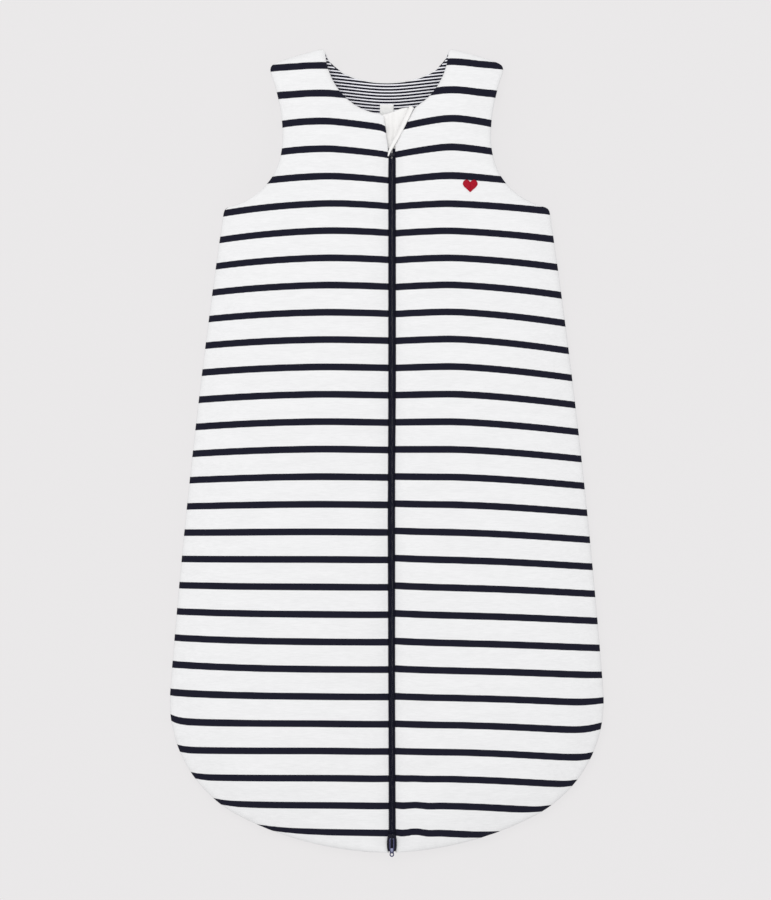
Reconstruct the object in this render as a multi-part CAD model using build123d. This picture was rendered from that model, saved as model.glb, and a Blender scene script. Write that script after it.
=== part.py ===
from build123d import *
import math
import os

# A sleeveless padded baby sleeping bag, lying on its back.
# X is across the bag, +Y is towards the neck and +Z is up out of the floor.
# The origin is on the underside, on the centre line, halfway along the bag.
# Every size is in millimetres.

# Plan of the bag
bag_length = 700.0
shoulder_y = bag_length / 2
neck_half_width = 53.8
shoulder_outer = (100.0, 336.0)
shoulder_corner = (101.7, 334.3)
shoulder_bulge = 0.9
arm_top = (102.2, 331.5)
underarm = (141.5, 211.0)
side_bulge = 3.7
hem_half_width = 189.0
hem_corner_radius = 112.0
hem_radius = 280.0
side_lean = 4.3
front_neck_depth = 58.0
back_neck_depth = 28.7
armhole = [(91.2, 286.0), (99.5, 238.0), (114.0, 222.5)]

# Thickness of each layer, and the height of the hollow between back and front
outer_thickness = 1.2
wadding_thickness = 6.0
lining_thickness = 1.0
cavity_height = 14.0
seam_width = 8.0

# Zip, which runs a little to the right of the centre line
zip_x = 4.4
zip_bottom = -348.0
zip_top = 255.0
zip_tape_top = 262.0
channel_half_width = 5.2
tape_outer = 16.0
tape_thickness = 0.6
coil_inner = 0.75
coil_outer = 2.9
coil_height = 2.2
coil_pitch = 1.6
coil_tooth = 0.9
coil_spine = 0.8
stop_length = 1.3
top_stop_length = 3.0
top_stop_height = 2.6

# Slit above the zip: where its two edges leave the channel and where they meet the neckline
slit_left_foot = 262.0
slit_left_tip = (-2.6, 292.5)
slit_right_foot = 266.0
slit_right_tip = (24.2, 298.2)

# Guard behind the zip
guard_thickness = 1.6
guard_drop = 0.6
guard_left = 16.0
guard_right = 14.0
guard_sewn_width = 8.0
guard_bottom = -340.0
guard_top = 293.0

# Facing folded out of the slit's right edge
facing_thickness = 1.0
facing_top_z = 28.0
facing_width = 4.1

# Slider
slider_bottom_y = -348.5
slider_top_y = -333.8
slider_half_width = 4.3
slider_tail_half_width = 3.2
slider_mouth_half_width = 3.6
slider_plate = 0.9
slider_plate_gap = 0.3
slider_flange = 1.0
slider_slot = 2.0
slider_edge_radius = 0.4
post_half_width = 0.5
post_length = 4.5
post_setback = 0.8

# Bridge over the slider, and the pull that hangs from it
bridge_half_width = 0.8
bridge_bottom_y = -344.6
bridge_top_y = -335.2
bridge_post = 1.4
bridge_bar = 1.0
bridge_opening = 2.5
bridge_round = 0.9
pull_pivot_y = -337.8
pull_pivot_rise = 1.0
pull_thickness = 1.2
pull_window_half_width = 1.2
pull_half_width = 2.1
pull_window_end = -345.9
pull_tab_half_width = 1.75
pull_hole_y = -351.2
pull_hole_radius = 1.05
pull_ring_radius = 2.0
pull_pin_radius = 0.6

# Locking leaf under the bridge: its prong drops between the coils and the raised pull lifts it
leaf_half_width = 0.5
leaf_thickness = 0.25
leaf_end_gap = 0.3
leaf_pin_gap = 0.15
prong_half_width = 0.3
prong_length = 0.8
prong_drop = 1.2
prong_hole_gap = 0.2

# Trims
label_size = (12.0, 9.0, 0.6)
label_at = (0.0, 297.0)
care_label_size = (18.0, 30.0, 0.4)
care_label_at = (-141.4, 60.0)
heart_at = (72.5, 229.1)
heart_width = 12.6
heart_height = 0.6

# Heights, from the floor up
back_wadding_z = outer_thickness
back_lining_z = back_wadding_z + wadding_thickness
cavity_z = back_lining_z + lining_thickness
front_lining_z = cavity_z + cavity_height
front_wadding_z = front_lining_z + lining_thickness
front_outer_z = front_wadding_z + wadding_thickness
front_top_z = front_outer_z + outer_thickness
tape_z = front_wadding_z
coil_z = tape_z + tape_thickness
slider_z = tape_z - slider_plate_gap - slider_plate
slider_roof_z = coil_z + coil_height + 0.2
slider_top_z = slider_roof_z + 1.0
pull_axis_z = slider_top_z + pull_pivot_rise


def block(x_range, y_range, z_range):
    """A box between two corners."""
    size = [x_range[1] - x_range[0], y_range[1] - y_range[0], z_range[1] - z_range[0]]
    middle = [sum(x_range) / 2, sum(y_range) / 2, sum(z_range) / 2]
    return Pos(*middle) * Box(*size)


def plate(face, low, thickness):
    """A flat layer of the given plan, from height low upwards."""
    return Pos(0, 0, low) * extrude(face, thickness, dir=(0, 0, 1))


def hem_edges():
    """The bottom curve from the left side to the right side: corner, hem, corner."""
    corner_x = hem_half_width - hem_corner_radius
    centre_y = hem_radius - shoulder_y
    reach = hem_radius - hem_corner_radius
    corner_y = centre_y - math.sqrt(reach**2 - corner_x**2)
    turn = math.degrees(math.atan2(corner_y - centre_y, corner_x))
    right = CenterArc((corner_x, corner_y), hem_corner_radius, turn, side_lean - turn)
    hem = CenterArc((0, centre_y), hem_radius, -180 - turn, 180 + 2 * turn)
    return [mirror(right, about=Plane.YZ), hem, right]


def bowed(start, end, bulge):
    """An arc between two points that bows out to the right of its run by bulge."""
    along = (end - start).normalized()
    middle = (start + end) / 2 + Vector(along.Y, -along.X) * bulge
    return ThreePointArc(start, middle, end)


def side_edge():
    """The right side, from the hem's corner up to the underarm, bowed slightly outwards."""
    return bowed(hem_edges()[2] @ 1, Vector(*underarm), side_bulge)


def whole_plan():
    """Plan of the bag without its neck opening."""
    right = [
        side_edge(),
        Spline(underarm, *reversed(armhole), arm_top),
        ThreePointArc(arm_top, shoulder_corner, shoulder_outer),
        bowed(Vector(*shoulder_outer), Vector(neck_half_width, shoulder_y), shoulder_bulge),
    ]
    left = [mirror(edge, about=Plane.YZ) for edge in right]
    top = Line((neck_half_width, shoulder_y), (-neck_half_width, shoulder_y))
    return make_face(hem_edges() + right + left + [top])


def neck(depth):
    """Plan of a neck opening: the lower half of an ellipse about the shoulder line."""
    return Pos(0, shoulder_y) * Ellipse(neck_half_width, depth)


def back_plan():
    return whole_plan() - neck(back_neck_depth)


def front_plans():
    """Plans of the left and right front, parted by the zip's channel and the slit."""
    left_x = zip_x - channel_half_width
    right_x = zip_x + channel_half_width
    gap = Polyline(
        (left_x, -shoulder_y - 10),
        (right_x, -shoulder_y - 10),
        (right_x, slit_right_foot),
        slit_right_tip,
        (slit_right_tip[0], shoulder_y),
        (slit_left_tip[0], shoulder_y),
        slit_left_tip,
        (left_x, slit_left_foot),
        close=True,
    )
    parted = whole_plan() - neck(front_neck_depth) - make_face(gap)
    return parted.faces().sort_by(Axis.X)


def make_back():
    plan = back_plan()
    return {
        "back_outer": plate(plan, 0, outer_thickness),
        "back_wadding": plate(plan, back_wadding_z, wadding_thickness),
        "back_lining": plate(plan, back_lining_z, lining_thickness),
    }


def make_front():
    """Two fronts of three layers each; the wadding is cut away over the zip's tape."""
    tape_room = block(
        (zip_x - tape_outer - 0.2, zip_x + tape_outer + 0.2),
        (-shoulder_y, zip_tape_top + 0.2),
        (tape_z, tape_z + tape_thickness + 0.05),
    )
    parts = {}
    for side, plan in zip(["left", "right"], front_plans()):
        wadding = plate(plan, front_wadding_z, wadding_thickness) - tape_room
        parts[f"front_{side}_lining"] = plate(plan, front_lining_z, lining_thickness)
        parts[f"front_{side}_wadding"] = wadding
        parts[f"front_{side}_outer"] = plate(plan, front_outer_z, outer_thickness)
    return parts


def make_seams():
    """Turned-in seam allowances that close the sides, the hem and the shoulders."""
    chord = Line(underarm, (-underarm[0], underarm[1]))
    right_side = side_edge()
    lower = make_face(hem_edges() + [right_side, mirror(right_side, about=Plane.YZ), chord])
    ring = plate(lower - offset(lower, -seam_width), cavity_z, cavity_height)
    corner_y = side_edge().position_at(0).Y
    height = (cavity_z - 1, front_lining_z + 1)
    inner = underarm[0] - seam_width - 0.5
    upper = (corner_y, underarm[1] + 1)
    slider_room = block(
        (zip_x - channel_half_width, zip_x + channel_half_width),
        (-shoulder_y - 1, slider_top_y),
        (slider_z - 0.6, front_lining_z + 1),
    )
    parts = {
        "side_seam_left": ring & block((-hem_half_width - 1, -inner), upper, height),
        "side_seam_right": ring & block((inner, hem_half_width + 1), upper, height),
        "hem_seam": (
            ring & block((-200, 200), (-shoulder_y - 1, corner_y), height)
        ) - slider_room,
    }
    start = Vector(neck_half_width + 0.8, shoulder_y - 0.4)
    end = Vector(shoulder_outer[0] - 0.8, shoulder_outer[1] + 0.2)
    along = (end - start).normalized()
    inward = Vector(along.Y, -along.X) * (seam_width - 1)
    strip = make_face(Polyline(start, end, end + inward, start + inward, close=True))
    seam = plate(strip, cavity_z, cavity_height)
    parts["shoulder_seam_right"] = seam
    parts["shoulder_seam_left"] = mirror(seam, about=Plane.YZ)
    return parts


def make_guard():
    """Flat guard behind the zip, sewn to the left front along one thicker strip."""
    top = front_lining_z - guard_drop
    left = zip_x - guard_left
    flap = block(
        (left, zip_x + guard_right), (guard_bottom, guard_top), (top - guard_thickness, top)
    )
    sewn = block(
        (left, left + guard_sewn_width), (guard_bottom, slit_left_foot), (top, front_lining_z)
    )
    return {"zip_guard": flap + sewn}


def make_facing():
    """Narrow facing that folds out of the slit along the right front's edge."""
    tip = Vector(slit_right_tip[0] - 0.3, slit_right_tip[1])
    foot = Vector(zip_x + channel_half_width - 0.3, slit_right_foot)
    low = Vector(zip_x + 0.6, zip_tape_top - 3)
    side = Vector(facing_width, 0)
    outline = Polyline(tip, tip - side, low - side * 0.8, low, foot, close=True)
    low_z = facing_top_z - facing_thickness
    return {"front_facing": plate(make_face(outline), low_z, facing_thickness)}


def coil_plan(side):
    """Comb of coil turns: a spine at the sewn edge and teeth towards the zip's centre."""
    spine = coil_outer - coil_spine
    turns = int((zip_top - zip_bottom - stop_length) / coil_pitch)
    points = [(coil_outer, zip_bottom + stop_length)]
    for turn in range(turns):
        y = zip_bottom + stop_length + turn * coil_pitch
        points += [(spine, y), (coil_inner, y), (coil_inner, y + coil_tooth), (spine, y + coil_tooth)]
    points.append((coil_outer, points[-1][1]))
    outline = Polyline(*[(zip_x + side * x, y) for x, y in points], close=True)
    return make_face(outline)


def make_zip():
    """Two tapes with their coils, the two end stops at the hem and the stop at the slit."""
    parts = {}
    for name, side in [("left", -1), ("right", 1)]:
        tape_x = sorted([zip_x + side * coil_inner, zip_x + side * tape_outer])
        stop_x = sorted([zip_x + side * coil_inner, zip_x + side * coil_outer])
        parts[f"zip_tape_{name}"] = block(
            tape_x, (zip_bottom - 0.5, zip_tape_top), (tape_z, tape_z + tape_thickness)
        )
        parts[f"zip_coil_{name}"] = plate(coil_plan(side), coil_z, coil_height)
        parts[f"zip_end_stop_{name}"] = block(
            stop_x,
            (zip_bottom - 0.4, zip_bottom + stop_length - 0.1),
            (coil_z, coil_z + coil_height),
        )
    parts["zip_top_stop"] = block(
        (zip_x - coil_outer - 0.3, zip_x + coil_outer + 0.3),
        (zip_top, zip_top + top_stop_length),
        (coil_z, coil_z + top_stop_height),
    )
    return parts


def slider_plan():
    """Barrel-shaped plan of the slider, narrow at the tail and wider at the mouth."""
    middle_y = (slider_bottom_y + slider_top_y) / 2 - 0.5
    tail = Vector(zip_x + slider_tail_half_width, slider_top_y)
    mouth = Vector(zip_x + slider_mouth_half_width, slider_bottom_y)
    right = ThreePointArc(mouth, (zip_x + slider_half_width, middle_y), tail)
    left = mirror(right, about=Plane.YZ.offset(zip_x))
    return make_face([right, left, Line(right @ 1, left @ 1), Line(right @ 0, left @ 0)])


def make_slider_body():
    """Two plates joined by a post, with flanges round the coils and slots for the tapes."""
    body = plate(slider_plan(), slider_z, slider_top_z - slider_z)
    body = fillet(body.faces().sort_by(Axis.Z)[-1].edges(), slider_edge_radius)
    length = (slider_bottom_y - 1, slider_top_y + 1)
    floor_z = slider_z + slider_plate
    tunnel_half = slider_half_width - slider_flange
    tunnel = block((zip_x - tunnel_half, zip_x + tunnel_half), length, (floor_z, slider_roof_z))
    slots = block((zip_x - 6, zip_x + 6), length, (floor_z, floor_z + slider_slot))
    post = block(
        (zip_x - post_half_width, zip_x + post_half_width),
        (slider_bottom_y + post_setback, slider_bottom_y + post_setback + post_length),
        (floor_z, slider_roof_z),
    )
    return body - tunnel - slots - prong_block(prong_hole_gap) + post


def prong_block(gap):
    """The locking prong's block, or with a gap, the hole for it in the slider's upper plate."""
    low_y = bridge_bottom_y + bridge_post + leaf_end_gap
    return block(
        (zip_x - prong_half_width - gap, zip_x + prong_half_width + gap),
        (low_y - gap, low_y + prong_length + gap),
        (slider_roof_z - prong_drop, pull_axis_z + pull_pin_radius + leaf_pin_gap),
    )


def make_lock():
    """Flat leaf between the pull's pin and the bridge, with the locking prong at one end."""
    low_z = pull_axis_z + pull_pin_radius + leaf_pin_gap
    leaf = block(
        (zip_x - leaf_half_width, zip_x + leaf_half_width),
        (
            bridge_bottom_y + bridge_post + leaf_end_gap,
            bridge_top_y - bridge_post - leaf_end_gap,
        ),
        (low_z, low_z + leaf_thickness),
    )
    return leaf + prong_block(0)


def make_bridge():
    """Arch along the slider that the pull's pin passes under."""
    top_z = slider_top_z + bridge_opening + bridge_bar
    width = (zip_x - bridge_half_width, zip_x + bridge_half_width)
    arch = block(width, (bridge_bottom_y, bridge_top_y), (slider_top_z, top_z))
    corners = arch.faces().sort_by(Axis.Z)[-1].edges().filter_by(Axis.X)
    arch = fillet(corners, bridge_round)
    hollow = block(
        (zip_x - 2, zip_x + 2),
        (bridge_bottom_y + bridge_post, bridge_top_y - bridge_post),
        (slider_top_z - 1, slider_top_z + bridge_opening),
    )
    return arch - hollow


def make_pull():
    """Pull with a pin under the bridge, a window round it, a short tab and an end ring."""
    def rect(half_width, low_y, high_y):
        centre = Pos(zip_x, (low_y + high_y) / 2)
        return centre * Rectangle(2 * half_width, high_y - low_y)

    end_y = pull_pivot_y + pull_thickness / 2
    frame = rect(pull_half_width, pull_window_end - 1.2, end_y)
    frame = fillet(frame.vertices().group_by(Axis.Y)[0], 0.7)
    frame -= rect(pull_window_half_width, pull_window_end, end_y + 1)
    tab = rect(pull_tab_half_width, pull_hole_y, pull_window_end)
    ring = Pos(zip_x, pull_hole_y) * Circle(pull_ring_radius)
    hole = Pos(zip_x, pull_hole_y) * Circle(pull_hole_radius)
    outline = frame + tab + ring - hole
    body = plate(outline, pull_axis_z - pull_thickness / 2, pull_thickness)
    round_end = Pos(zip_x, pull_pivot_y, pull_axis_z) * Rot(0, 90, 0)
    envelope = round_end * Cylinder(pull_thickness / 2, 2 * pull_half_width)
    envelope += block(
        (zip_x - 5, zip_x + 5), (pull_hole_y - 5, pull_pivot_y), (slider_top_z, front_top_z)
    )
    pin = round_end * Cylinder(pull_pin_radius, 2 * pull_half_width - 0.4)
    return (body & envelope) + pin


def make_heart():
    """Small embroidered heart, raised slightly off the right front."""
    lobe = heart_width / 4
    slope = lobe * math.sqrt(0.5)
    tip_y = -heart_width * 0.56
    shape = Pos(-lobe, 0) * Circle(lobe * 1.03) + Pos(lobe, 0) * Circle(lobe * 1.03)
    side = lobe + slope * 1.03
    shape += make_face(Polyline((-side, -slope), (0, tip_y), (side, -slope), (0, lobe * 0.5), close=True))
    centre_y = heart_at[1] + heart_width * 0.14
    return plate(Pos(heart_at[0], centre_y) * shape, front_top_z, heart_height)


def flat_label(size, at):
    """Thin woven label lying on the back lining."""
    return Pos(at[0], at[1], cavity_z + size[2] / 2) * Box(*size)


def build_all():
    parts = {}
    parts.update(make_back())
    parts.update(make_front())
    parts.update(make_seams())
    parts.update(make_guard())
    parts.update(make_facing())
    parts.update(make_zip())
    parts["slider_body"] = make_slider_body()
    parts["slider_bridge"] = make_bridge()
    parts["pull_tab"] = make_pull()
    parts["lock_leaf"] = make_lock()
    parts["chest_heart"] = make_heart()
    parts["neck_label"] = flat_label(label_size, label_at)
    parts["care_label"] = flat_label(care_label_size, care_label_at)
    return parts


os.makedirs("parts", exist_ok=True)
for name, shape in build_all().items():
    export_step(shape, f"parts/{name}.step")
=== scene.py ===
import math

import bmesh
import bpy
import numpy as np
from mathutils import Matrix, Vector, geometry, noise


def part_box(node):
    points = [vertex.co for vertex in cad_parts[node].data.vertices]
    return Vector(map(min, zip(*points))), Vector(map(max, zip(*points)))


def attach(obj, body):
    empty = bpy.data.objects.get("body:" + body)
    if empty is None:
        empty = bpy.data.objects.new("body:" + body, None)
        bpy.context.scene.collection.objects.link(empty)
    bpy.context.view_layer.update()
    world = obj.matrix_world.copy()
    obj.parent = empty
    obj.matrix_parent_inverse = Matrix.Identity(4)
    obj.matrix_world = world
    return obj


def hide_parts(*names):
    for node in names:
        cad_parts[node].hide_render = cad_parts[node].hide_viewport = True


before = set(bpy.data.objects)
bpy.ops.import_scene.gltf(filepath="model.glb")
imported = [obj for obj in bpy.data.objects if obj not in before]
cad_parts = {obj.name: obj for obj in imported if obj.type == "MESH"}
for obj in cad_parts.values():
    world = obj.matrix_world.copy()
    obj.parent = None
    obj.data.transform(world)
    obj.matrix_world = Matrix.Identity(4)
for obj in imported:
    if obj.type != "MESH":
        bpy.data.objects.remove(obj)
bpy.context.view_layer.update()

MM = 0.001

# The shapes below are worked out in millimetres, in the frame's axes, and turned to metres
# as each mesh is made. Heights are above the floor.

# Stripes
STRIPE_PITCH = 23.69
STRIPE_WIDTH = 6.0
STRIPE_Y = 283.9
LINING_PITCH = 2.75
LINING_STRIPE_WIDTH = 1.68

# Heights of the padded layers
FRONT_MIDDLE = 25.3
FRONT_THICKNESS = 7.2
BACK_MIDDLE = 4.2
BACK_THICKNESS = 7.8
SEAM_HEIGHT = 12.8
SEAM_HALF = 2.75
OPEN_EDGE_MIDDLE = 18.5
SLIT_EDGE_MIDDLE = 23.9
ZIP_EDGE_MIDDLE = 23.75
ZIP_EDGE_THICKNESS = 1.8
HEM_LIFT = 6.8
HEM_LIFT_REACH = 45.0
RIM = 1.2
SEWN_RIM = 6.5
ROLLED_CLOTH = 2.8
LINING_THICKNESS = 0.9
LINING_PROUD = 0.3

# Grid of the padded meshes
EDGE_STEP = 2.5
INNER_STEP = 4.5
RINGS = (0.3, 0.8, 1.5, 2.4, 3.6, 5.2, 7.4, 10.2, 13.8)
LINING_STEP = 5.0
LINING_RINGS = (1.2, 3.4, 7.0)


def record_box(node):
    """Lowest and highest corner of a CAD node, in millimetres."""
    low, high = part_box(node)
    return np.array(low) / MM, np.array(high) / MM


coil_low, coil_high = record_box("zip_coil_left")
tape_low, tape_high = record_box("zip_tape_left")
ZIP_X = (coil_low[0] + record_box("zip_coil_right")[1][0]) / 2
ZIP_TOP = record_box("zip_top_stop")[1][1]
TAPE_LOW = tape_low[2]
TAPE_TOP = tape_high[2]
TAPE_EDGE = ZIP_X - tape_low[0]
COIL_LOW = coil_low[2]
COIL_HIGH = coil_high[2]
# From the zip's middle to the fronts' edges: in the frame, and here beside the coils
CHANNEL = ZIP_X - record_box("front_left_lining")[1][0]
ZIP_GAP = 2.9


# ------------------------ plan curves


def mesh_points(mesh):
    """A mesh's vertices, in millimetres."""
    return np.array([v.co for v in mesh.vertices]) / MM


def rim_links(faces):
    """The neighbours of each point along the edges that only one face has."""
    counts = {}
    for face in faces:
        for a, b in zip(face, face[1:] + face[:1]):
            edge = frozenset((a, b))
            counts[edge] = counts.get(edge, 0) + 1
    links = {}
    for edge, count in counts.items():
        if count == 1 and len(edge) == 2:
            a, b = edge
            links.setdefault(a, []).append(b)
            links.setdefault(b, []).append(a)
    return links


def plan_loop(node):
    """Outline of a flat CAD layer as an anticlockwise loop of points."""
    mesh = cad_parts[node].data
    points = mesh_points(mesh)
    low = points[:, 2].min()
    keys = {}
    where = [keys.setdefault((round(x, 2), round(y, 2)), len(keys)) for x, y, _ in points]
    flat = [p for p in mesh.polygons if all(points[i, 2] < low + 0.01 for i in p.vertices)]
    links = rim_links([[where[i] for i in polygon.vertices] for polygon in flat])
    loop = [next(iter(links))]
    previous = None
    while len(loop) == 1 or loop[-1] != loop[0]:
        following = [n for n in links[loop[-1]] if n != previous]
        previous = loop[-1]
        loop.append(following[0])
    loop = np.array(list(keys))[loop[:-1]]
    following = np.roll(loop, -1, axis=0)
    area = np.sum(loop[:, 0] * following[:, 1] - following[:, 0] * loop[:, 1])
    return loop if area > 0 else loop[::-1]


def turning(loop):
    """How sharply the loop turns at each of its points, in degrees."""
    before = loop - np.roll(loop, 1, axis=0)
    after = np.roll(loop, -1, axis=0) - loop
    cross = before[:, 0] * after[:, 1] - before[:, 1] * after[:, 0]
    dot = (before * after).sum(axis=1)
    return np.degrees(np.arctan2(cross, dot))


def catmull(points, step):
    """Evenly spaced points along a smooth curve through the given open run of points."""
    points = np.array(points, float)
    if len(points) == 2:
        dense = points
    else:
        first = 2 * points[0] - points[1]
        last = 2 * points[-1] - points[-2]
        padded = np.vstack([first, points, last])
        dense = [points[0]]
        for i in range(1, len(padded) - 2):
            p0, p1, p2, p3 = padded[i - 1:i + 3]
            k0, k1, k2 = (
                max(np.linalg.norm(b - a), 1e-6) ** 0.5 for a, b in ((p0, p1), (p1, p2), (p2, p3))
            )
            m1 = (p1 - p0) / k0 - (p2 - p0) / (k0 + k1) + (p2 - p1) / k1
            m2 = (p2 - p1) / k1 - (p3 - p1) / (k1 + k2) + (p3 - p2) / k2
            for t in np.linspace(0, 1, 9)[1:]:
                h = (
                    (2 * t**3 - 3 * t**2 + 1) * p1
                    + (t**3 - 2 * t**2 + t) * k1 * m1
                    + (-2 * t**3 + 3 * t**2) * p2
                    + (t**3 - t**2) * k1 * m2
                )
                dense.append(h)
        dense = np.array(dense)
    lengths = np.concatenate([[0], np.cumsum(np.linalg.norm(np.diff(dense, axis=0), axis=1))])
    count = max(1, int(round(lengths[-1] / step)))
    wanted = np.linspace(0, lengths[-1], count + 1)
    return np.stack([np.interp(wanted, lengths, dense[:, k]) for k in (0, 1)], axis=1)


def smooth_loop(loop, step=EDGE_STEP, corner=14):
    """The loop resampled evenly, with its corners kept as points and the rest made smooth."""
    turns = np.abs(turning(loop))
    corners = [i for i in range(len(loop)) if turns[i] > corner]
    pieces = []
    for a, b in zip(corners, corners[1:] + [corners[0] + len(loop)]):
        run = [loop[i % len(loop)] for i in range(a, b + 1)]
        pieces.append(catmull(run, step)[:-1])
    return np.vstack(pieces)


def soften(loop, passes, keep=None):
    """Rounds a loop's corners by a few steps of smoothing, except at the points to keep."""
    loop = loop.copy()
    for _ in range(passes):
        mean = (np.roll(loop, 1, axis=0) + np.roll(loop, -1, axis=0)) / 2
        moved = loop + 0.5 * (mean - loop)
        loop = moved if keep is None else np.where(keep[:, None], loop, moved)
    return loop


def inward_normals(loop):
    """Directions that point into a loop, square to it, at each of its points."""
    tangent = np.roll(loop, -1, axis=0) - np.roll(loop, 1, axis=0)
    tangent /= np.linalg.norm(tangent, axis=1)[:, None] + 1e-9
    return np.stack([-tangent[:, 1], tangent[:, 0]], axis=1)


def inside(points, loop):
    """Which points lie inside a closed loop."""
    x, y = points[:, 0], points[:, 1]
    result = np.zeros(len(points), bool)
    following = np.roll(loop, -1, axis=0)
    for (ax, ay), (bx, by) in zip(loop, following):
        if ay == by:
            continue
        crosses = (ay > y) != (by > y)
        reach = ax + (y - ay) * (bx - ax) / (by - ay)
        result ^= crosses & (x < reach)
    return result


def distance(points, starts, ends):
    """Distance from each point to the nearest of some segments, and the place along them."""
    best = np.full(len(points), 1e9)
    place = np.zeros(len(points))
    lengths = np.linalg.norm(ends - starts, axis=1)
    along = np.concatenate([[0], np.cumsum(lengths)[:-1]])
    for a, b, length, offset in zip(starts, ends, lengths, along):
        if length < 1e-9:
            continue
        direction = (b - a) / length
        t = np.clip((points - a) @ direction, 0, length)
        gap = np.hypot(*(points - a - t[:, None] * direction).T)
        nearer = gap < best
        best = np.where(nearer, gap, best)
        place = np.where(nearer, offset + t, place)
    return best, place


def triangulate(loop, rings=RINGS, step=INNER_STEP):
    """Points and triangles that fill a loop, in rings along its edge and a grid inside."""
    starts, ends = loop, np.roll(loop, -1, axis=0)
    normals = inward_normals(loop)
    points = [loop]
    for ring in rings:
        candidates = loop + normals * ring
        gap, _ = distance(candidates, starts, ends)
        keep = inside(candidates, loop) & (gap > ring * 0.93)
        points.append(candidates[keep])
    low, high = loop.min(axis=0), loop.max(axis=0)
    rows = np.arange(low[1], high[1], step * math.sqrt(0.75))
    columns = np.arange(low[0], high[0], step)
    grid = np.array(
        [(x + (j % 2) * step / 2, y) for j, y in enumerate(rows) for x in columns]
    )
    grid = grid[inside(grid, loop)]
    gap, _ = distance(grid, starts, ends)
    points.append(grid[gap > rings[-1] + 0.7 * step])
    points = np.vstack(points)
    loop_faces = [list(range(len(loop)))]
    found = geometry.delaunay_2d_cdt([Vector(p) for p in points], [], loop_faces, 1, 1e-4)
    plan = np.array([(v.x, v.y) for v in found[0]])
    triangles = [tuple(f) for f in found[2]]
    return plan, triangles


# ------------------------ meshes and materials


def link(name, data):
    """Puts new data into the scene as an object."""
    item = bpy.data.objects.new(name, data)
    bpy.context.scene.collection.objects.link(item)
    return item


def new_mesh(name, points, faces):
    """An object with smooth faces and the given points, in millimetres."""
    mesh = bpy.data.meshes.new(name)
    mesh.from_pydata((np.asarray(points) * MM).tolist(), [], faces)
    mesh.polygons.foreach_set("use_smooth", [True] * len(faces))
    mesh.update()
    return link(name, mesh)


def finish_piece(item, body, nodes, material):
    """Gives a piece its material, and says what it rides on and which nodes it replaces."""
    item.data.materials.append(material)
    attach(item, body)
    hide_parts(*nodes)


def set_stripe(item, values):
    """Stores each point's place across the stripes, which the materials read in metres."""
    attribute = item.data.attributes.new("stripe", "FLOAT", "POINT")
    attribute.data.foreach_set("value", np.asarray(values * MM, np.float32))


def srgb(red, green, blue):
    """A colour given as on a screen, 0 to 255, turned to linear light."""
    channels = []
    for value in (red, green, blue):
        c = value / 255
        channels.append(c / 12.92 if c <= 0.04045 else ((c + 0.055) / 1.055) ** 2.4)
    return (*channels, 1.0)


WHITE = srgb(241, 241, 242)
NAVY = srgb(22, 22, 36)
LINING_WHITE = srgb(240, 240, 246)


class Nodes:
    """Short way to build a material's node tree."""

    def __init__(self, name):
        self.material = bpy.data.materials.new(name)
        self.material.use_nodes = True
        self.tree = self.material.node_tree
        self.shader = self.tree.nodes["Principled BSDF"]

    def put(self, socket, value):
        if isinstance(value, bpy.types.NodeSocket):
            self.tree.links.new(value, socket)
        elif value is not None:
            socket.default_value = value

    def math(self, operation, a, b=None, c=None):
        node = self.tree.nodes.new("ShaderNodeMath")
        node.operation = operation
        for socket, value in zip(node.inputs, (a, b, c)):
            self.put(socket, value)
        return node.outputs[0]

    def wave(self, turns):
        """A ripple between 0 and 1, one for every whole turn."""
        sine = self.math("SINE", self.math("MULTIPLY", turns, 2 * math.pi))
        return self.math("MULTIPLY_ADD", sine, 0.5, 0.5)

    def axes(self):
        coordinates = self.tree.nodes.new("ShaderNodeTexCoord")
        split = self.tree.nodes.new("ShaderNodeSeparateXYZ")
        self.put(split.inputs[0], coordinates.outputs["Object"])
        return split.outputs

    def attribute(self, name):
        node = self.tree.nodes.new("ShaderNodeAttribute")
        node.attribute_name = name
        return node.outputs["Fac"]

    def noise(self, scale, detail=2.0, stretch=(1, 1, 1)):
        coordinates = self.tree.nodes.new("ShaderNodeTexCoord")
        mapping = self.tree.nodes.new("ShaderNodeMapping")
        mapping.inputs["Scale"].default_value = stretch
        self.put(mapping.inputs["Vector"], coordinates.outputs["Object"])
        node = self.tree.nodes.new("ShaderNodeTexNoise")
        node.inputs["Scale"].default_value = scale
        node.inputs["Detail"].default_value = detail
        self.put(node.inputs["Vector"], mapping.outputs[0])
        return node.outputs["Fac"]

    def range(self, value, low, high, to_low, to_high):
        node = self.tree.nodes.new("ShaderNodeMapRange")
        for socket, number in zip(node.inputs, (value, low, high, to_low, to_high)):
            self.put(socket, number)
        return node.outputs[0]

    def mix(self, factor, a, b, blend="MIX"):
        node = self.tree.nodes.new("ShaderNodeMix")
        node.data_type = "RGBA"
        node.blend_type = blend
        self.put(node.inputs["Factor"], factor)
        self.put(node.inputs["A"], a)
        self.put(node.inputs["B"], b)
        return node.outputs["Result"]

    def darken(self, color, shade):
        """A colour times a grey."""
        grey = self.tree.nodes.new("ShaderNodeCombineColor")
        for socket in grey.inputs:
            self.put(socket, shade)
        return self.mix(1.0, color, grey.outputs[0], "MULTIPLY")

    def bump(self, height, distance, strength):
        node = self.tree.nodes.new("ShaderNodeBump")
        node.inputs["Strength"].default_value = strength
        node.inputs["Distance"].default_value = distance
        self.put(node.inputs["Height"], height)
        return node.outputs[0]

    def finish(self, color, normal=None, **numbers):
        self.put(self.shader.inputs["Base Color"], color)
        self.put(self.shader.inputs["Normal"], normal)
        for name, value in numbers.items():
            self.put(self.shader.inputs[name.replace("_", " ")], value)
        return self.material


CLOTH = {"Roughness": 0.95, "Sheen_Weight": 0.02, "Specular_IOR_Level": 0.15}


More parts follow.
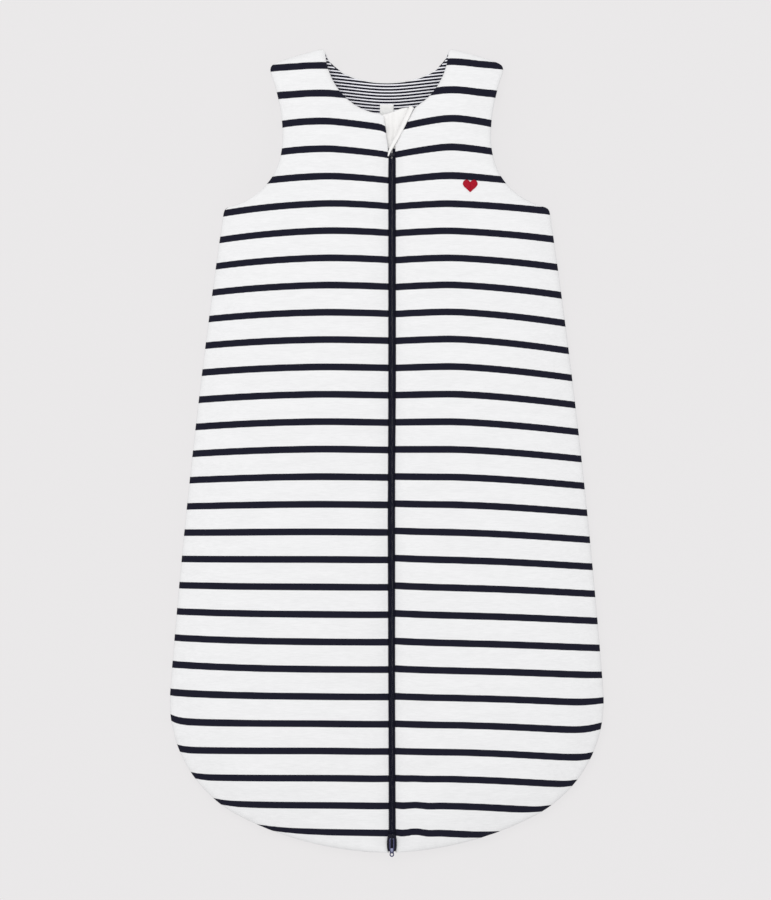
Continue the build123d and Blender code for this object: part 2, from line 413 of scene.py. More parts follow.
def knit_height(n, wale, course):
    """Height of a jersey knit's stitches: columns of small V shapes."""
    x, y, _ = n.axes()
    across = n.math("FRACT", n.math("DIVIDE", x, wale))
    leg = n.math("ABSOLUTE", n.math("SUBTRACT", n.math("MULTIPLY", across, 2.0), 1.0))
    row = n.math("DIVIDE", y, course)
    phase = n.math("SUBTRACT", row, n.math("MULTIPLY", leg, 0.55))
    ridge = n.math("SINE", n.math("MULTIPLY", leg, math.pi))
    return n.math("MULTIPLY", n.wave(phase), ridge)


def stripes(n, pitch, width, edge, stitch, step):
    """1 on a stripe and 0 between, from the mesh's own stripe coordinate in metres."""
    place = n.math("MULTIPLY_ADD", stitch, step, n.attribute("stripe"))
    turn = n.math("DIVIDE", place, pitch)
    offset = n.math("SUBTRACT", n.math("FRACT", n.math("ADD", turn, 0.5)), 0.5)
    gap = n.math("MULTIPLY", n.math("ABSOLUTE", offset), pitch)
    return n.range(gap, width / 2 + edge, width / 2 - edge, 0.0, 1.0)


def marl(n, color, strength):
    """The thin streaks that uneven cotton yarn leaves along the courses."""
    fine = n.noise(1000, 3.0, (0.12, 1.0, 1.0))
    broad = n.noise(160, 2.0, (0.2, 1.0, 1.0))
    streak = n.math("ADD", n.math("MULTIPLY", fine, 0.65), n.math("MULTIPLY", broad, 0.35))
    return n.darken(color, n.range(streak, 0.36, 0.64, 1.0 - strength, 1.0))


def jersey_material():
    """White jersey with navy stripes, with painted shade in the dips between its stitches."""
    n = Nodes("striped jersey")
    stitch = knit_height(n, 0.95 * MM, 0.72 * MM)
    mask = stripes(n, STRIPE_PITCH * MM, STRIPE_WIDTH * MM, 0.12 * MM, stitch, 0.3 * MM)
    navy = n.mix(n.noise(1400, 1.0), NAVY, srgb(27, 27, 42))
    color = n.mix(mask, marl(n, WHITE, 0.062), navy)
    # Painted shade: the colour darkens in the dips between the stitches.
    color = n.darken(color, n.range(stitch, 0.0, 0.5, 0.93, 1.0))
    return n.finish(color, n.bump(stitch, 0.14 * MM, 0.35), **CLOTH)


def lining_material():
    """Thin jersey with narrow navy stripes."""
    n = Nodes("fine striped jersey")
    stitch = knit_height(n, 0.8 * MM, 0.55 * MM)
    mask = stripes(n, LINING_PITCH * MM, LINING_STRIPE_WIDTH * MM, 0.05 * MM, stitch, 0.08 * MM)
    color = n.mix(mask, LINING_WHITE, NAVY)
    return n.finish(color, n.bump(stitch, 0.1 * MM, 0.3), **CLOTH)


def plain_material(name, color):
    """Unstriped white cloth."""
    n = Nodes(name)
    stitch = knit_height(n, 0.7 * MM, 0.5 * MM)
    return n.finish(marl(n, color, 0.03), n.bump(stitch, 0.08 * MM, 0.3), **CLOTH)


def tape_material():
    """Woven tape: a fine herringbone of navy polyester, with painted shade in the grooves between its
    ribs.
    """
    n = Nodes("woven tape")
    x, y, _ = n.axes()
    side = n.math("ABSOLUTE", n.math("SUBTRACT", n.math("FRACT", n.math("DIVIDE", x, 2.4 * MM)), 0.5))
    slant = n.math("ADD", n.math("DIVIDE", y, 0.55 * MM), n.math("MULTIPLY", side, 4.0))
    rib = n.wave(slant)
    # Painted shade: the colour darkens where the ribs dip, in step with the bump.
    color = n.mix(rib, srgb(13, 13, 26), srgb(22, 22, 38))
    normal = n.bump(rib, 0.08 * MM, 0.5)
    return n.finish(color, normal, Roughness=0.8, Specular_IOR_Level=0.2)


def coil_material():
    n = Nodes("nylon coil")
    color = n.mix(n.noise(700), srgb(17, 18, 36), srgb(25, 26, 48))
    return n.finish(color, Roughness=0.45, Specular_IOR_Level=0.15)


def enamel_material():
    """Navy lacquer over the zip's metal, with faint unevenness."""
    n = Nodes("navy lacquer")
    color = n.mix(n.noise(500, 3.0), srgb(10, 10, 23), srgb(18, 18, 34))
    normal = n.bump(n.noise(1500, 2.0), 0.03 * MM, 0.3)
    return n.finish(color, normal, Roughness=0.33, Specular_IOR_Level=0.13)


# Painted highlights on the pull, bright patches on the tab and at the hinge: height up the bag, half
# width and half length
PAINTED_HIGHLIGHT_PATCHES = ((-347.2, 1.15, 2.1), (-337.6, 1.3, 0.55))


def pull_material():
    """The same lacquer, with highlights painted in as bright patches on the tab and at the hinge."""
    n = Nodes("lacquer with painted highlights")
    x, y, _ = n.axes()
    painted_highlight = 0.0
    for middle, width, length in PAINTED_HIGHLIGHT_PATCHES:
        across = n.math("DIVIDE", n.math("SUBTRACT", x, ZIP_X * MM), width * MM)
        along = n.math("DIVIDE", n.math("SUBTRACT", y, middle * MM), length * MM)
        reach = n.math("ADD", n.math("MULTIPLY", across, across), n.math("MULTIPLY", along, along))
        painted_highlight = n.math("MAXIMUM", painted_highlight, n.range(reach, 1.25, 0.35, 0.0, 1.0))
    base = n.mix(n.noise(600, 3.0), srgb(56, 56, 84), srgb(76, 76, 106))
    # Painted highlights: the colour turns bright in these patches, where glints fall on the tab and the
    # hinge.
    color = n.mix(painted_highlight, base, srgb(148, 152, 180))
    normal = n.bump(n.noise(1500, 2.0), 0.03 * MM, 0.3)
    return n.finish(color, normal, Roughness=0.32, Metallic=0.85)


def embroidery_material():
    """Red thread with the fine slanting lines of its ply, with painted shade between the plies."""
    n = Nodes("red embroidery thread")
    x, y, z = n.axes()
    ply = n.wave(n.math("DIVIDE", n.math("ADD", n.math("ADD", x, y), z), 0.8 * MM))
    red = srgb(178, 8, 38)
    # Painted shade: a darker red where the ply dips, in step with the bump.
    dark = (*(channel * 0.8 for channel in red[:3]), 1.0)
    normal = n.bump(ply, 0.05 * MM, 0.5)
    return n.finish(n.mix(ply, dark, red), normal, Roughness=0.6, Specular_IOR_Level=0.2)


def steel_material():
    n = Nodes("spring steel")
    color = n.mix(n.noise(900), srgb(150, 150, 152), srgb(185, 185, 188))
    return n.finish(color, Roughness=0.35, Metallic=1.0)


JERSEY = jersey_material()
LINING = lining_material()
PLAIN = plain_material("plain jersey", srgb(241, 240, 239))
TAPE = tape_material()
COIL = coil_material()
ENAMEL = enamel_material()
LACQUER = pull_material()
STEEL = steel_material()
LABEL = plain_material("woven label", srgb(244, 244, 243))
RED_THREAD = embroidery_material()


# ------------------------ stripes on the bag

STRIPE_HEIGHTS = (335, 285, 214, 95, 0, -95, -190, -261, -325)
# How far the stripes sag, by side: near the zip, on the flat between, and at the outer edge
SAG = {
    -1: {
        "flat": (-3.0, -1.0, -1.7, -1.7, -1.4, -0.2, 0.4, 0.1, 0.3),
        "edge": (2.0, 0.5, 9.0, 5.0, 4.5, -0.2, -4.4, 0.4, -1.0),
        "zip": (1.0, 7.5, 2.5, 1.0, 1.0, 0.5, 0.5, 1.0, 0.5),
        "start": 0.25,
        "power": 2.0,
    },
    1: {
        "flat": (-5.5, -2.5, -1.2, -2.4, -1.0, 0.5, 2.0, 1.5, 0.4),
        "edge": (2.5, 3.0, 6.0, 10.5, 8.5, 6.0, 4.0, 6.8, 4.8),
        "zip": (3.0, 8.5, 2.5, 2.0, 0.0, -2.0, -2.0, -0.8, -0.6),
        "start": 0.3,
        "power": 1.5,
    },
}
ZIP_SAG_REACH = 0.4
# Over the shoulders they also rise between the neck and the armhole
STRAP_ACROSS = (106, 90, 68, 46, 24, 0)
STRAP_SAG = {-1: (3.4, 0.8, -1.2, -0.5, -0.2, -0.3), 1: (3.8, 1.6, -2.0, -1.9, -0.5, 0.0)}
# Where the bottom corners start to turn, the seam takes the stripes up: the height of that
# place, how far it spreads up and down, how much it takes up, and how far in and how fast it fades
CORNER_CURL = {-1: (-236, 17, 3.2, 6.0, 1.0), 1: (-238, 28, 4.3, 13.0, 1.4)}


def smooth_interp(x, xs, ys):
    """Values read from a short list of points, with gentle bends at them."""
    xs, ys = np.array(xs[::-1], float), np.array(ys[::-1], float)
    spread = (-18.0, -9.0, 0.0, 9.0, 18.0)
    return sum(np.interp(x + s, xs, ys) for s in spread) / len(spread)


def sag_beside_zip(side, x, y):
    """How far the stripes sag on one side of the zip."""
    sag = SAG[side]
    share = np.clip((x - ZIP_X) * side / (half_width(y) - ZIP_X * side), 0, 1.05)
    outer = np.clip((share - sag["start"]) / (1 - sag["start"]), 0, None) ** sag["power"]
    inner = np.clip(1 - share / ZIP_SAG_REACH, 0, None) ** 1.5
    drop = sum(
        smooth_interp(y, STRIPE_HEIGHTS, sag[part]) * weight
        for part, weight in (("flat", 1), ("edge", outer), ("zip", inner))
    )
    strap = smooth_interp(np.abs(x), STRAP_ACROSS, STRAP_SAG[side])
    strap = np.where(strap > 0, strap * np.interp(y, (285, 310), (1.0, 0.35)), strap)
    drop = drop + strap * np.clip((y - 222) / 55, 0, 1)
    middle, spread, amount, reach, power = CORNER_CURL[side]
    near_corner = np.exp(-(((y - middle) / spread) ** 2))
    return drop - amount * near_corner * fade(half_width(y) - x * side, reach, power)


def stripe_coordinate(x, y):
    """Distance along the cloth that decides the stripes, 0 in the middle of one."""
    sag = np.where(x >= ZIP_X, sag_beside_zip(1, x, y), sag_beside_zip(-1, x, y))
    return y - STRIPE_Y + sag + roll_at_slit(x, y) - 0.95 * gather(x, y)


def roll_at_slit(x, y):
    """The left side of the slit rolls under, and takes the stripes down with it."""
    edge = np.interp(y, (ZIP_TOP, 292), (0.0, -2.6))
    share = np.clip((x - edge + 6) / 6, 0, 1)
    depth = np.interp(y, (ZIP_TOP, 280), (0.3, 1.3))
    return depth * share**3 * (y > ZIP_TOP - 4) * (x < ZIP_X)


def gather(x, y):
    """Small ripples where the end of the zip draws the right front's hem together."""
    near = np.exp(-(((y + 335) / 38) ** 2)) * np.exp(-(((x - 23) / 17) ** 2))
    return near * np.cos((x - 25.4) * 2 * math.pi / 27) * (x > ZIP_X)


# ------------------------ the padded layers

back_loop = plan_loop("back_outer")
BAG_HALF = back_loop[:, 1].max()
NECK_HALF = back_loop[back_loop[:, 1] > BAG_HALF - 0.5][:, 0].max()
UNDERARM_Y = 211.0
NECK_DEPTH = 58.0
SLIT_REACH = 22.0
SHOULDER_TIP = (100.0, 336.0)


def half_width(y):
    """Half the bag's width at a height, up to the underarm and constant above it."""
    right = back_loop[(back_loop[:, 0] > 0) & (back_loop[:, 1] < UNDERARM_Y + 0.5)]
    right = right[np.argsort(right[:, 1])]
    return np.interp(y, right[:, 1], right[:, 0])


def neckline(x):
    """Height of the front neckline at a distance across."""
    return BAG_HALF - NECK_DEPTH * math.sqrt(max(0, 1 - (x / NECK_HALF) ** 2))


def edge_kind(a, b):
    """Which edge of the bag a short stretch of outline belongs to."""
    x, y = (np.array(a) + np.array(b)) / 2
    upright = abs(b[0] - a[0]) < 0.4 * abs(b[1] - a[1])
    if abs(x - ZIP_X) < CHANNEL + 0.2 and y < ZIP_TOP + 6 and upright:
        return "zip"
    if abs(x - ZIP_X) < SLIT_REACH and ZIP_TOP < y < neckline(x) - 1.5:
        return "slit"
    if y < UNDERARM_Y - 0.3:
        return "seam"
    slope = (SHOULDER_TIP[1] - BAG_HALF) / (SHOULDER_TIP[0] - NECK_HALF)
    shoulder = BAG_HALF + (abs(x) - NECK_HALF) * slope
    if NECK_HALF - 0.3 < abs(x) < SHOULDER_TIP[0] + 0.8 and abs(y - shoulder) < 1.6:
        return "shoulder"
    if abs(x) > NECK_HALF - 0.3:
        return "arm"
    return "neck"


def pull_to_zip(loop):
    """Moves a front's inner edge from the wide channel of the frame in to the coils.

    The edge is divided into short stretches, so that it stays straight when it is smoothed.
    """
    moved = loop.copy()
    for i, (x, y) in enumerate(loop):
        side = 1 if x > ZIP_X else -1
        if abs(abs(x - ZIP_X) - CHANNEL) < 0.15 and y < ZIP_TOP + 14:
            moved[i, 0] = ZIP_X + side * ZIP_GAP
            if y > ZIP_TOP:
                moved[i, 1] = ZIP_TOP + (1.0 if side < 0 else 7.0)
    divided = []
    for a, b in zip(moved, np.roll(moved, -1, axis=0)):
        beside_zip = abs(abs(a[0] - ZIP_X) - ZIP_GAP) < 0.01 and abs(a[0] - b[0]) < 0.01
        divided += list(np.linspace(a, b, 40 if beside_zip else 1, endpoint=False))
    return np.array(divided)


def rim_width(plan):
    """Width of outer cloth rolled over an open edge; the neck's two corners have little."""
    near_corner = np.hypot(np.abs(plan[:, 0]) - NECK_HALF, plan[:, 1] - BAG_HALF)
    return RIM - 0.85 * np.exp(-((near_corner / 17) ** 2))


def wander(loop):
    """Lets the fronts' edges stray a little beside the zip, as sewn edges do."""
    x, y = loop[:, 0], loop[:, 1]
    left = np.interp(y, (-345, -290, -180, -60, 40, ZIP_TOP), (-0.7, -0.5, 0.0, 0.45, -0.1, -0.1))
    right = np.interp(y, (-345, -300, -225, -30, 60, ZIP_TOP), (0.4, 0.1, -0.3, -0.3, 0.5, 0.35))
    beside = (np.abs(x - ZIP_X) < ZIP_GAP + 0.2) & (y < ZIP_TOP - 3)
    return np.column_stack([x + beside * np.where(x < ZIP_X, -left, right), y])


def fade(gap, reach, power=1.4):
    """1 at an edge, falling smoothly to 0 with the distance from it."""
    return np.exp(-((np.clip(gap, 0, None) / reach) ** power))


def rounded(gap, radius):
    """Quarter-round profile: 0 at the edge and 1 from radius inwards."""
    share = np.clip(gap / radius, 0, 1)
    return np.sqrt(np.clip(1 - (1 - share) ** 2, 0, 1))


def seam_height(x, y):
    """Height of the seam, which the stiff end of the zip lifts in the middle of the hem."""
    near_hem = 1 / (1 + np.exp((y + 250) / 15))
    return SEAM_HEIGHT + HEM_LIFT * near_hem * np.exp(-((x - ZIP_X) / HEM_LIFT_REACH) ** 2)


def soft_noise(x, y, size, seed):
    """Smooth waves of about the given size, from -1 to 1."""
    values = [
        noise.noise(Vector((a / size + seed * 7.3, b / size - seed * 3.1, seed * 1.7)))
        for a, b in zip(x, y)
    ]
    return np.array(values)


def front_middle(plan, gaps, closed, free):
    """Height of a front's middle, which drops towards its seams, its open edges and the zip."""
    x, y = plan[:, 0], plan[:, 1]
    beside_zip = 1 - 0.8 * fade(gaps["zip"], 5, 2)
    propped = np.exp(-(((x - ZIP_X) / 30) ** 2)) * (y > 240)
    open_edge = OPEN_EDGE_MIDDLE + (SLIT_EDGE_MIDDLE - 0.6 - OPEN_EDGE_MIDDLE) * propped
    drops = [
        (FRONT_MIDDLE - seam_height(x, y) - SEAM_HALF) * fade(closed, 26, 1.25) * beside_zip,
        (FRONT_MIDDLE - open_edge) * fade(free, 34, 1.2),
        (FRONT_MIDDLE - ZIP_EDGE_MIDDLE) * fade(gaps["zip"] - 1.6, 12, 1.3),
        (FRONT_MIDDLE - SLIT_EDGE_MIDDLE) * fade(gaps["slit"], 12, 1.3),
    ]
    return FRONT_MIDDLE - sum(d**4 for d in drops) ** 0.25


class Layer:
    """One padded layer: its outline, the distances to its edges, and its two surfaces."""

    def __init__(self, name, loop, front):
        self.name = name
        self.loop = loop
        self.front = front
        following = np.roll(loop, -1, axis=0)
        self.kinds = [edge_kind(a, b) for a, b in zip(loop, following)]
        self.edges = {}
        for kind in ("seam", "shoulder", "arm", "neck", "zip", "slit"):
            chosen = self.places_of(kind)
            self.edges[kind] = (loop[chosen], following[chosen])

    def places_of(self, kind):
        """Which points of the outline start a stretch of one kind of edge."""
        return [i for i, k in enumerate(self.kinds) if k == kind]

    def gaps(self, plan):
        """Distance to each kind of edge, and the place along it."""
        found, places = {}, {}
        for kind, (starts, ends) in self.edges.items():
            found[kind], places[kind] = distance(plan, starts, ends)
        return found, places

    def surfaces(self, plan):
        """Heights of the layer's lower and upper surface at each point of the plan."""
        gaps, places = self.gaps(plan)
        closed = np.minimum(gaps["seam"], gaps["shoulder"])
        free = np.minimum(gaps["arm"], gaps["neck"])
        profile = np.minimum(rounded(closed, 5.0), rounded(free, 4.2))
        if self.front:
            profile = np.minimum(profile, rounded(gaps["zip"], 0.95))
            profile = np.minimum(profile, rounded(gaps["slit"], 2.4))
            middle = front_middle(plan, gaps, closed, free)
            thin = 1 - fade(gaps["zip"] - 1.6, 9, 1.1)
            thin = np.minimum(thin, 1 - 0.5 * fade(gaps["slit"] - 1.5, 6))
            thickness = ZIP_EDGE_THICKNESS + (FRONT_THICKNESS - ZIP_EDGE_THICKNESS) * thin
        else:
            rise = seam_height(plan[:, 0], plan[:, 1]) - SEAM_HALF - BACK_MIDDLE
            middle = BACK_MIDDLE + rise * fade(closed, 15, 1.4)
            thickness = BACK_THICKNESS
        squeeze = 1 - 0.18 * fade(closed, 9) - 0.25 * fade(free, 12)
        half = thickness / 2 * squeeze * profile
        middle = middle + self.waves(plan, gaps, places)
        return middle - half, middle + half

    def waves(self, plan, gaps, places):
        """Gentle unevenness: broad in the padding, short and close beside the seams."""
        x, y = plan[:, 0], plan[:, 1]
        if not self.front:
            return 0.15 * soft_noise(x, y, 60, 4)
        broad = 0.8 * soft_noise(x, y, 75, 1) + 0.35 * soft_noise(x, y, 30, 2)
        calm = 1 - fade(gaps["zip"], 9)
        run = places["seam"] / 13 + 1.6 * soft_noise(places["seam"], 0 * x, 40, 3)
        pucker = 0.45 * np.sin(run * 2 * math.pi) * fade(gaps["seam"] - 2, 9)
        zip_run = y / 21 + 1.5 * soft_noise(y, 0 * x, 55, 5)
        ripple = 0.28 * np.sin(zip_run * 2 * math.pi) * fade(gaps["zip"] - 9, 9)
        return (broad + pucker + ripple + 0.5 * gather(x, y)) * calm


def cloth_taken_up(layer, plan):
    """Length of cloth, measured across the stripes, that the curve down to the seam takes up."""
    gap = layer.gaps(plan)[0]["seam"]
    inwards = (layer.gaps(plan + [0, 0.8])[0]["seam"] - gap) / 0.8
    return np.clip(inwards, 0, 1) * ROLLED_CLOTH * fade(gap, 5.0)


def closed_mesh(name, plan, triangles, low, high, pinch):
    """A closed mesh between two heights over one plan, walled or pinched together at its rim."""
    rim = {}
    for triangle in triangles:
        for a, b in zip(triangle, triangle[1:] + triangle[:1]):
            if not rim.pop((b, a), False):
                rim[(a, b)] = True
    shared = {a for edge in rim for a in edge} if pinch else set()
    points = list(np.column_stack([plan, high]))
    under = list(range(len(points)))
    for i, point in enumerate(np.column_stack([plan, low])):
        if i not in shared:
            under[i] = len(points)
            points.append(point)
    faces = list(triangles)
    faces += [(under[c], under[b], under[a]) for a, b, c in triangles]
    if not pinch:
        faces += [(b, a, under[a], under[b]) for a, b in rim]
    return new_mesh(name, points, faces)


def settled_on_tape(plan, gaps, edge, low):
    """The underside of a front, kept above the zip's tape."""
    on_tape = np.clip((19.0 - np.abs(plan[:, 0] - ZIP_X)) / 3.0, 0, 1)
    on_tape = np.where(plan[:, 1] > ZIP_TOP + 6, 0, on_tape)
    on_tape = on_tape * np.clip((gaps["seam"] - 0.8) / 5, 0, 1)
    settled = np.maximum(low, TAPE_TOP + 0.06)
    return np.where(edge > 0.01, low + (settled - low) * on_tape, low)


def shell_piece(layer):
    """The outer cloth with its wadding: the whole pad, with a shallow recess for the lining."""
    plan, triangles = triangulate(layer.loop)
    low, high = layer.surfaces(plan)
    gaps, _ = layer.gaps(plan)
    edge = np.min(list(gaps.values()), axis=0)
    rim = RIM if layer.front else rim_width(plan)
    recess = LINING_PROUD * np.clip((edge - rim + 0.4) / 0.8, 0, 1)
    if layer.front:
        low = settled_on_tape(plan, gaps, edge, low + recess)
        high = np.maximum(high, low + 0.2 * (edge > 0.01))
    else:
        high = high - recess
    piece = closed_mesh("bag_" + layer.name, plan, triangles, low, high, pinch=True)
    points = mesh_points(piece.data)[:, :2]
    along = stripe_coordinate(points[:, 0], points[:, 1])
    set_stripe(piece, along - cloth_taken_up(layer, points))
    nodes = [layer.name + "_outer", layer.name + "_wadding"]
    finish_piece(piece, "bag", nodes, JERSEY)


def neck_dip(x, y):
    """How far the back lining's stripes dip, in a shallow curve at the middle of the neck."""
    return 7.5 * np.exp(-((y - 300) / 90) ** 2) * (1 / np.cosh((x - 1) / 34))


def lining_loop(layer):
    """Outline of a layer's lining, inside its seams, its rolled edges and the zip's channel."""
    loop = layer.loop
    sewn = fade(layer.gaps(loop)[0]["seam"], 9, 2)
    rim = RIM if layer.front else rim_width(loop)
    inset = rim + (SEWN_RIM - rim) * sewn
    if layer.front:
        near_zip = (np.abs(loop[:, 0] - ZIP_X) < ZIP_GAP + 0.8) & (loop[:, 1] < ZIP_TOP + 10)
        inset = np.where(near_zip, np.maximum(CHANNEL - ZIP_GAP + 0.15, inset), inset)
    return loop + inward_normals(loop) * inset[:, None]


def lining_piece(layer):
    """The lining on a layer's inner face; the fronts' linings stay below the zip's tape."""
    plan, triangles = triangulate(lining_loop(layer), LINING_RINGS, LINING_STEP)
    low, high = layer.surfaces(plan)
    bottom = high - LINING_THICKNESS
    if layer.front:
        near_tape = (np.abs(plan[:, 0] - ZIP_X) < TAPE_EDGE + 2) & (plan[:, 1] < ZIP_TOP + 8)
        top_limit = np.where(near_tape, TAPE_LOW - 0.05, 1e3)
        bottom = np.minimum(low, top_limit - LINING_THICKNESS)
        high = bottom + LINING_THICKNESS
    name = layer.name + "_lining"
    piece = closed_mesh(name + "_cloth", plan, triangles, bottom, high, pinch=False)
    x, y, _ = mesh_points(piece.data).T
    set_stripe(piece, y if layer.front else y + neck_dip(x, y))
    finish_piece(piece, "bag", [name], LINING)


def make_layers():
    """The back and both fronts, each with its lining."""
    layers = {}
    for name in ("back", "front_left", "front_right"):
        loop = plan_loop(name + "_outer")
        front = name != "back"
        if front:
            loop = smooth_loop(pull_to_zip(loop))
            beside_zip = np.abs(loop[:, 0] - ZIP_X) < ZIP_GAP + 0.2
            loop = wander(soften(loop, 3, beside_zip))
        else:
            loop = soften(smooth_loop(loop), 3)
        layers[name] = Layer(name, loop, front)
        shell_piece(layers[name])
        lining_piece(layers[name])
    return layers


# ------------------------ small building tools


def join(parts):
    """Several sets of vertices and faces made into one."""
    vertices, faces, offset = [], [], 0
    for some, those in parts:
        vertices.append(some)
        faces += [tuple(i + offset for i in face) for face in those]
        offset += len(some)
    return np.vstack(vertices), faces


def sweep(sections):
    """A closed mesh through a row of matching cross-sections."""
    sections = np.asarray(sections, float)
    count, size = sections.shape[:2]
    faces = []
    for i in range(count - 1):
        for k in range(size):
            a, b = i * size + k, i * size + (k + 1) % size
            faces.append((a, b, b + size, a + size))
    faces.append(tuple(reversed(range(size))))
    faces.append(tuple(range((count - 1) * size, count * size)))
    return sections.reshape(-1, 3), faces


def tube(points, radius, sides=5):
    """Vertices and faces of a round tube along a line of points."""
    points = np.asarray(points, float)
    tangent = np.gradient(points, axis=0)
    tangent /= np.linalg.norm(tangent, axis=1)[:, None] + 1e-9
    helper = np.where(np.abs(tangent[:, 2:3]) > 0.9, [[1.0, 0, 0]], [[0, 0, 1.0]])
    first = np.cross(tangent, helper)
    first /= np.linalg.norm(first, axis=1)[:, None]
    second = np.cross(tangent, first)
    angles = (np.arange(sides) * 2 * math.pi / sides)[None, :, None]
    ring = np.cos(angles) * first[:, None] + np.sin(angles) * second[:, None]
    return sweep(points[:, None] + ring * radius)


def cloth_grid(name, middle, thickness):
    """A cloth of some thickness, thin at its rim, from a grid of points on its middle surface."""
    middle = np.asarray(middle, float)
    rows, columns = middle.shape[:2]
    normal = np.cross(np.gradient(middle, axis=1), np.gradient(middle, axis=0))
    normal /= np.linalg.norm(normal, axis=2)[:, :, None] + 1e-9
    half = np.full((rows, columns, 1), thickness / 2 * 0.35)
    half[1:-1, 1:-1] = thickness / 2
    top = (middle + normal * half).reshape(-1, 3)
    bottom = (middle - normal * half).reshape(-1, 3)
    count = len(top)
    index = np.arange(count).reshape(rows, columns)
    corners = (index[:-1, :-1], index[:-1, 1:], index[1:, 1:], index[1:, :-1])
    quads = np.stack(corners, axis=-1).reshape(-1, 4)
    faces = quads.tolist() + (quads[:, ::-1] + count).tolist()
    rim = [*index[0], *index[1:, -1], *index[-1, -2::-1], *index[-2:0:-1, 0]]
    faces += [(b, a, a + count, b + count) for a, b in zip(rim, rim[1:] + rim[:1])]
    return new_mesh(name, np.vstack([top, bottom]), faces)


# ------------------------ seams


HEM_CORNER_Y = -218.0
SEAM_PROFILE = ((1.7, 0.25), (2.4, 0.5), (4.5, 0.4), (8.0, 0.3))


def run_of(layer, kind, side=0):
    """The points of one seam along a layer's outline, with the directions inwards."""
    chosen = [i for i in layer.places_of(kind) if layer.loop[i, 0] * side >= 0]
    breaks = [k for k in range(1, len(chosen)) if chosen[k] != chosen[k - 1] + 1]
    if breaks:
        chosen = chosen[breaks[0]:] + chosen[:breaks[0]]
    return layer.loop[chosen], inward_normals(layer.loop)[chosen]


def seam_sections(points, normals):
    """Cross-sections of the sewn edge, tucked into the crease between back and front."""
    outline = [(depth, -half) for depth, half in SEAM_PROFILE] + list(SEAM_PROFILE[::-1])
    heights = seam_height(points[:, 0], points[:, 1])
    return [
        [(x + inward[0] * depth, y + inward[1] * depth, height + rise) for depth, rise in outline]
        for (x, y), inward, height in zip(points, normals, heights)
    ]


def make_seams(back):
    """The turned-in allowances of the sides, the hem and the shoulders."""
    points, normals = run_of(back, "seam")
    hem = points[:, 1] <= HEM_CORNER_Y
    runs = {
        "side_seam_left": ~hem & (points[:, 0] < 0),
        "side_seam_right": ~hem & (points[:, 0] > 0),
        "hem_seam": hem,
    }
    pieces = {name: seam_sections(points[run], normals[run]) for name, run in runs.items()}
    for side, sign in (("left", -1), ("right", 1)):
        points, normals = run_of(back, "shoulder", sign)
        kept = np.abs(points[:, 0]) > NECK_HALF + 4
        pieces["shoulder_seam_" + side] = seam_sections(points[kept], normals[kept])
    for name, sections in pieces.items():
        item = new_mesh(name + "_sewn", *sweep(sections))
        finish_piece(item, "bag", [name], PLAIN)


# ------------------------ zip

COIL_PITCH = 1.6
COIL_START = -348.6
COIL_WIRE = 0.33
COIL_REACH = 0.35
COIL_STEPS = 14
TAPE_INNER = 0.75


def signed_power(value, power):
    return np.sign(value) * np.abs(value) ** power


def make_coil(side_name, sign):
    """One coil: a flattened helix whose heads reach past the middle, between the other's."""
    low, high = record_box("zip_coil_" + side_name)
    start = COIL_START if sign < 0 else COIL_START + COIL_PITCH / 2
    turns = int((high[1] - COIL_WIRE - start) / COIL_PITCH)
    first = 3 if sign < 0 else 0
    t = np.arange(first, turns * COIL_STEPS + 1) / COIL_STEPS
    angle = 2 * math.pi * t
    outer = max(abs(high[0] - ZIP_X), abs(low[0] - ZIP_X))
    half = (outer + COIL_REACH - 2 * COIL_WIRE) / 2
    centre = outer - COIL_WIRE - half
    x = ZIP_X + sign * (centre + half * signed_power(np.cos(angle), 0.8))
    middle = (COIL_LOW + COIL_HIGH) / 2
    rise = (COIL_HIGH - COIL_LOW) / 2 - COIL_WIRE - 0.02
    z = middle + rise * signed_power(np.sin(angle), 0.75)
    y = start + COIL_PITCH * t
    item = new_mesh("zip_coil_%s_turns" % side_name, *tube(np.column_stack([x, y, z]), COIL_WIRE))
    finish_piece(item, "bag", ["zip_coil_" + side_name], COIL)


def coil_stitches(x, low_y, high_y):
    """The row of stitches that holds a coil to its tape."""
    count = int((high_y - low_y) / (COIL_PITCH / 4))
    y = low_y + np.arange(count) * COIL_PITCH / 4
    wave = np.cos(np.arange(count) * math.pi / 2)
    points = np.column_stack([np.full(count, x), y, COIL_HIGH - 0.02 + 0.07 * wave])
    return tube(points, 0.11, 4)


def make_tape(side_name, sign):
    """Woven tape with a thicker bead along its outer edge, its end folded away at the hem."""
    low, high = record_box("zip_tape_" + side_name)
    inner = ZIP_X + sign * TAPE_INNER
    width = TAPE_EDGE - TAPE_INNER
    middle = (TAPE_LOW + TAPE_TOP) / 2
    profile = [
        (0, 0.22), (0.6, 0.27), (3.6, 0.25), (6.0, 0.25), (9.0, 0.25),
        (width - 1.6, 0.25), (width - 0.9, 0.29), (width - 0.3, 0.28), (width, 0.12),
    ]
    sections = []
    for y in np.concatenate([np.arange(0, 14, 0.7) + low[1], np.linspace(low[1] + 14, high[1], 240)]):
        reach = min(TAPE_EDGE, 3.7 + 1.1 * max(0, y - low[1] - 2.5))
        share = (reach - TAPE_INNER) / width
        top = [(inner + sign * x * share, y, middle + half) for x, half in profile]
        bottom = [(inner + sign * x * share, y, middle - half) for x, half in profile]
        ring = top + bottom[::-1]
        sections.append(ring if sign < 0 else ring[::-1])
    stitches = coil_stitches(ZIP_X + sign * 2.05, low[1] + 3, ZIP_TOP - 4)
    item = new_mesh("zip_tape_%s_woven" % side_name, *join([sweep(sections), stitches]))
    finish_piece(item, "bag", ["zip_tape_" + side_name], TAPE)


